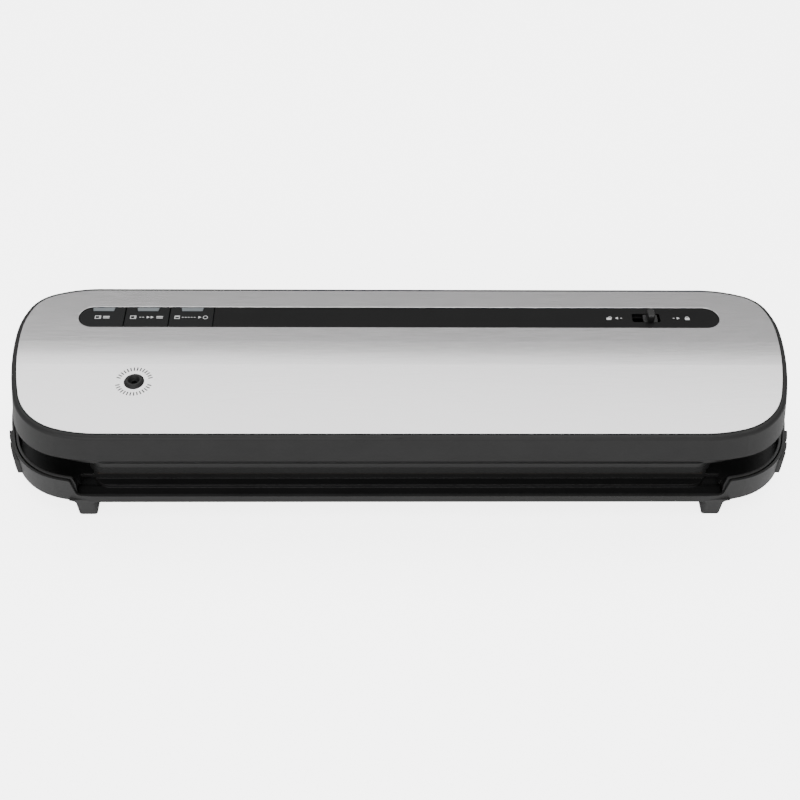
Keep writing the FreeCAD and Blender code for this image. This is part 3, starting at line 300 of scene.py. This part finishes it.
def frameBox(x, y, z, wide, deep):
    """Outline of a rectangle, inset in edit mode and raised."""
    bpy.ops.mesh.primitive_plane_add(size=1, location=(x, y, z))
    bpy.ops.transform.resize(value=(wide, deep, 1))
    bpy.ops.object.transform_apply(location=False, rotation=False, scale=True)
    bpy.ops.object.mode_set(mode="EDIT")
    bpy.ops.mesh.inset(thickness=ink["line"])
    bpy.ops.mesh.delete(type="FACE")
    bpy.ops.mesh.select_all(action="SELECT")
    bpy.ops.mesh.extrude_region_move(TRANSFORM_OT_translate={"value": (0, 0, ink["thick"])})
    bpy.ops.mesh.select_all(action="SELECT")
    bpy.ops.mesh.normals_make_consistent(inside=False)
    bpy.ops.object.mode_set(mode="OBJECT")
    return bpy.context.object


def disc(x, y, z, radius, sides=32, angle=0.0):
    bpy.ops.mesh.primitive_cylinder_add(vertices=sides, radius=radius, depth=ink["thick"],
                                        location=(x, y, z + ink["thick"] / 2), rotation=(0, 0, angle))
    return bpy.context.object


def hoop(x, y, z, radius):
    bpy.ops.mesh.primitive_torus_add(major_radius=radius, minor_radius=ink["line"] / 2, location=(x, y, z),
                                     major_segments=32, minor_segments=8)
    bpy.ops.transform.resize(value=(1, 1, 2 * ink["thick"] / ink["line"]))
    return bpy.context.object


def bag(x, y, z):
    """A bag seen flat, with its seam near the open end."""
    return [frameBox(x, y, z, 3.0 * mm, ink["tall"]), bar(x + 0.8 * mm, y, z, ink["line"], ink["tall"])]


def seam(x, y, z):
    return [bar(x, y + 0.55 * mm, z, 3.2 * mm, 0.5 * mm), bar(x, y - 0.55 * mm, z, 3.2 * mm, 0.5 * mm)]


def arrow(x, y, z, way):
    angle = -math.pi / 2 if way > 0 else math.pi / 2
    return [disc(x, y, z, 1.0 * mm, 3, angle)]


def dashes(x, y, z, count):
    return [bar(x + (i - (count - 1) / 2) * 1.5 * mm, y, z, 0.9 * mm, ink["line"]) for i in range(count)]


def padlock(x, y, z, shift):
    """Body and shackle. shift slides the shackle aside, so that the lock reads as open."""
    return [bar(x, y - 0.5 * mm, z, 2.3 * mm, 1.5 * mm), hoop(x + shift, y + 0.35 * mm, z, 0.75 * mm)]


keySigns = {
    "seal_key": lambda x, y, z: bag(x - 2.2 * mm, y, z) + seam(x + 2.0 * mm, y, z),
    "vacuum_key": lambda x, y, z: (bag(x - 6.9 * mm, y, z) + dashes(x - 2.6 * mm, y, z, 2)
                                   + arrow(x + 0.4 * mm, y, z, 1) + arrow(x + 2.4 * mm, y, z, 1)
                                   + seam(x + 6.4 * mm, y, z)),
    "accessory_key": lambda x, y, z: ([frameBox(x - 7.2 * mm, y, z, 2.6 * mm, ink["tall"]),
                                       bar(x - 7.2 * mm, y + 0.5 * mm, z, 2.6 * mm, ink["line"])]
                                      + dashes(x - 1.4 * mm, y, z, 5) + arrow(x + 4.0 * mm, y, z, 1)
                                      + [hoop(x + 7.0 * mm, y, z, 1.1 * mm)]),
}
signY = middle("control_strip")[0].y - 0.2 * mm
windows = middle("indicator_windows")
for key, draw in keySigns.items():
    centre, low, high = middle(key)
    x = centre.x if key != "seal_key" else windows[1].x + 5.6 * mm
    parts = draw(x, signY, surface(key, centre.x, signY)[0].z)
    settle(key + "_sign", parts, printInk, key + "_body")

knob = middle("slider_knob")[0]
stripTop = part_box("control_strip")[1].z
# On each side of the knob, from the knob outwards: a dash, an arrow and a padlock, open on the left.
slideSigns = {
    "left": {"dash": -14.9 * mm, "arrow": -17.0 * mm, "way": -1, "lock": -21.2 * mm, "shift": 0.7 * mm},
    "right": {"dash": 11.9 * mm, "arrow": 14.0 * mm, "way": 1, "lock": 18.8 * mm, "shift": 0},
}
slideParts = []
for sign in slideSigns.values():
    slideParts += padlock(knob.x + sign["lock"], signY, stripTop, sign["shift"])
    slideParts += arrow(knob.x + sign["arrow"], signY, stripTop, sign["way"])
    slideParts += dashes(knob.x + sign["dash"], signY, stripTop, 1)
settle("slider_signs", slideParts, printInk, "lid")

# A ring of plain ticks round the hose port, laid on the sloping plate.
portTicks = {"radius": 8.0 * mm, "count": 32, "gap": 2, "long": 2.1 * mm, "wide": 0.6 * mm}
port = middle("accessory_port")[0]
ticks = []
for i in range(portTicks["count"]):
    if i % (portTicks["count"] // 2) < portTicks["gap"]:
        continue
    turn = 2 * math.pi * (i - (portTicks["gap"] - 1) / 2) / portTicks["count"]
    x = port.x + portTicks["radius"] * math.cos(turn)
    y = port.y + portTicks["radius"] * math.sin(turn)
    place, normal = surface("top_plate", x, y)
    tick = bar(0, 0, 0, portTicks["long"], portTicks["wide"])
    bpy.ops.object.transform_apply(location=True, rotation=True, scale=True)
    lean = Vector((0, 0, 1)).rotation_difference(normal).to_matrix().to_4x4()
    tick.matrix_world = Matrix.Translation(place) @ lean @ Matrix.Rotation(turn, 4, "Z")
    ticks.append(tick)
settle("port_ticks", ticks, engraving, "lid")
print("signs made")


# ---------- screw recesses on the underside, as dark crosses of painted shade ---
recessShade = {"arm": 3.0 * mm, "wide": 0.7 * mm, "drop": 0.06 * mm, "head": 2.6 * mm}
# Thin black crosses on the steel screw heads: painted shade where the cross recesses would be.
shadeCrosses = []
low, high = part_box("base_screws")
for x in (low.x + recessShade["head"], high.x - recessShade["head"]):
    for y in (low.y + recessShade["head"], high.y - recessShade["head"]):
        for wide, deep in ((recessShade["arm"], recessShade["wide"]), (recessShade["wide"], recessShade["arm"])):
            shadeCrosses.append(bar(x, y, low.z - recessShade["drop"], wide, deep))
settle("base_screw_recess_shade", shadeCrosses, switchPlastic, "base")
print("screw recesses made")


# ---------- floor, light and camera ----------
bpy.ops.mesh.primitive_plane_add(size=8.0, location=(0, 0, 0))
floor = bpy.context.object
floor.name = "floor"
# Pale sweep paper: matt white, just bright enough to read as a clean background.
paper, paperTree, paperShader, _ = newMaterial("sweepPaper", {
    "Base Color": linear("#f6f6f6"), "Roughness": 0.9, "Specular IOR Level": 0.1})
# A little glow that only the camera sees lifts it towards white and leaves the light on the object alone.
glow = add(paperTree, "ShaderNodeLightPath")
lift = add(paperTree, "ShaderNodeMath", {"operation": "MULTIPLY"}, {0: glow.outputs["Is Camera Ray"]})
lift.inputs[1].default_value = 4.0
paperShader.inputs["Emission Color"].default_value = linear("#ffffff")
paperTree.links.new(lift.outputs["Value"], paperShader.inputs["Emission Strength"])
floor.data.materials.append(paper)

world = bpy.data.worlds.new("studio")
bpy.context.scene.world = world
world.use_nodes = True
sky = world.node_tree
sky.nodes["Background"].inputs["Color"].default_value = (1, 1, 1, 1)
sky.nodes["Background"].inputs["Strength"].default_value = 0.6

# The rear softbox's lower edge stands just above what the level part of the plate reflects, so the plate
# brightens at its bend.
lamps = {
    "rearSoftbox": {"place": (-0.1, 0.62, 1.37), "aim": (-0.1, 0, 0.06), "size": (2.6, 0.83),
                    "power": 23, "twist": -3},
    "frontSoftbox": {"place": (-0.3, -1.5, 0.75), "aim": (0, 0, 0.04), "size": (1.6, 0.8),
                     "power": 24, "twist": 0},
    "top": {"place": (0.1, -0.5, 1.6), "aim": (0, -0.1, 0), "size": (1.0, 0.8),
            "power": 12, "twist": 0},
}
for name, lamp in lamps.items():
    data = bpy.data.lights.new(name, "AREA")
    data.shape = "RECTANGLE"
    data.size, data.size_y = lamp["size"]
    data.energy = lamp["power"]
    light = bpy.data.objects.new(name, data)
    bpy.context.scene.collection.objects.link(light)
    light.location = lamp["place"]
    way = Vector(lamp["aim"]) - Vector(lamp["place"])
    spin = Quaternion((0, 0, 1), math.radians(lamp["twist"]))
    light.rotation_euler = (way.to_track_quat("-Z", "Y") @ spin).to_euler()

# The camera stands in front and looks down at the plate's centre, turned and rolled a little.
view = {"elevation": 44.37, "azimuth": -1.553, "roll": -1.167, "distance": 0.65213, "lens": 59.741,
        "shiftX": -0.00156, "shiftY": -0.05423}
elevation, azimuth, roll = (math.radians(view[k]) for k in ("elevation", "azimuth", "roll"))
target = Vector((0, 0, 62 * mm))
back = Vector((math.sin(azimuth) * math.cos(elevation), -math.cos(azimuth) * math.cos(elevation),
               math.sin(elevation)))
right = Vector((math.cos(azimuth), math.sin(azimuth), 0))
up = back.cross(right)
turned = Matrix((right * math.cos(roll) - up * math.sin(roll), right * math.sin(roll) + up * math.cos(roll),
                 back)).transposed()
camData = bpy.data.cameras.new("camera")
camData.lens = view["lens"]
camData.sensor_width = 36
camData.shift_x, camData.shift_y = view["shiftX"], view["shiftY"]
camData.dof.use_dof = False
camera = bpy.data.objects.new("camera", camData)
bpy.context.scene.collection.objects.link(camera)
camera.matrix_world = Matrix.Translation(target + back * view["distance"]) @ turned.to_4x4()
bpy.context.scene.camera = camera
print("stage, lights and camera set")
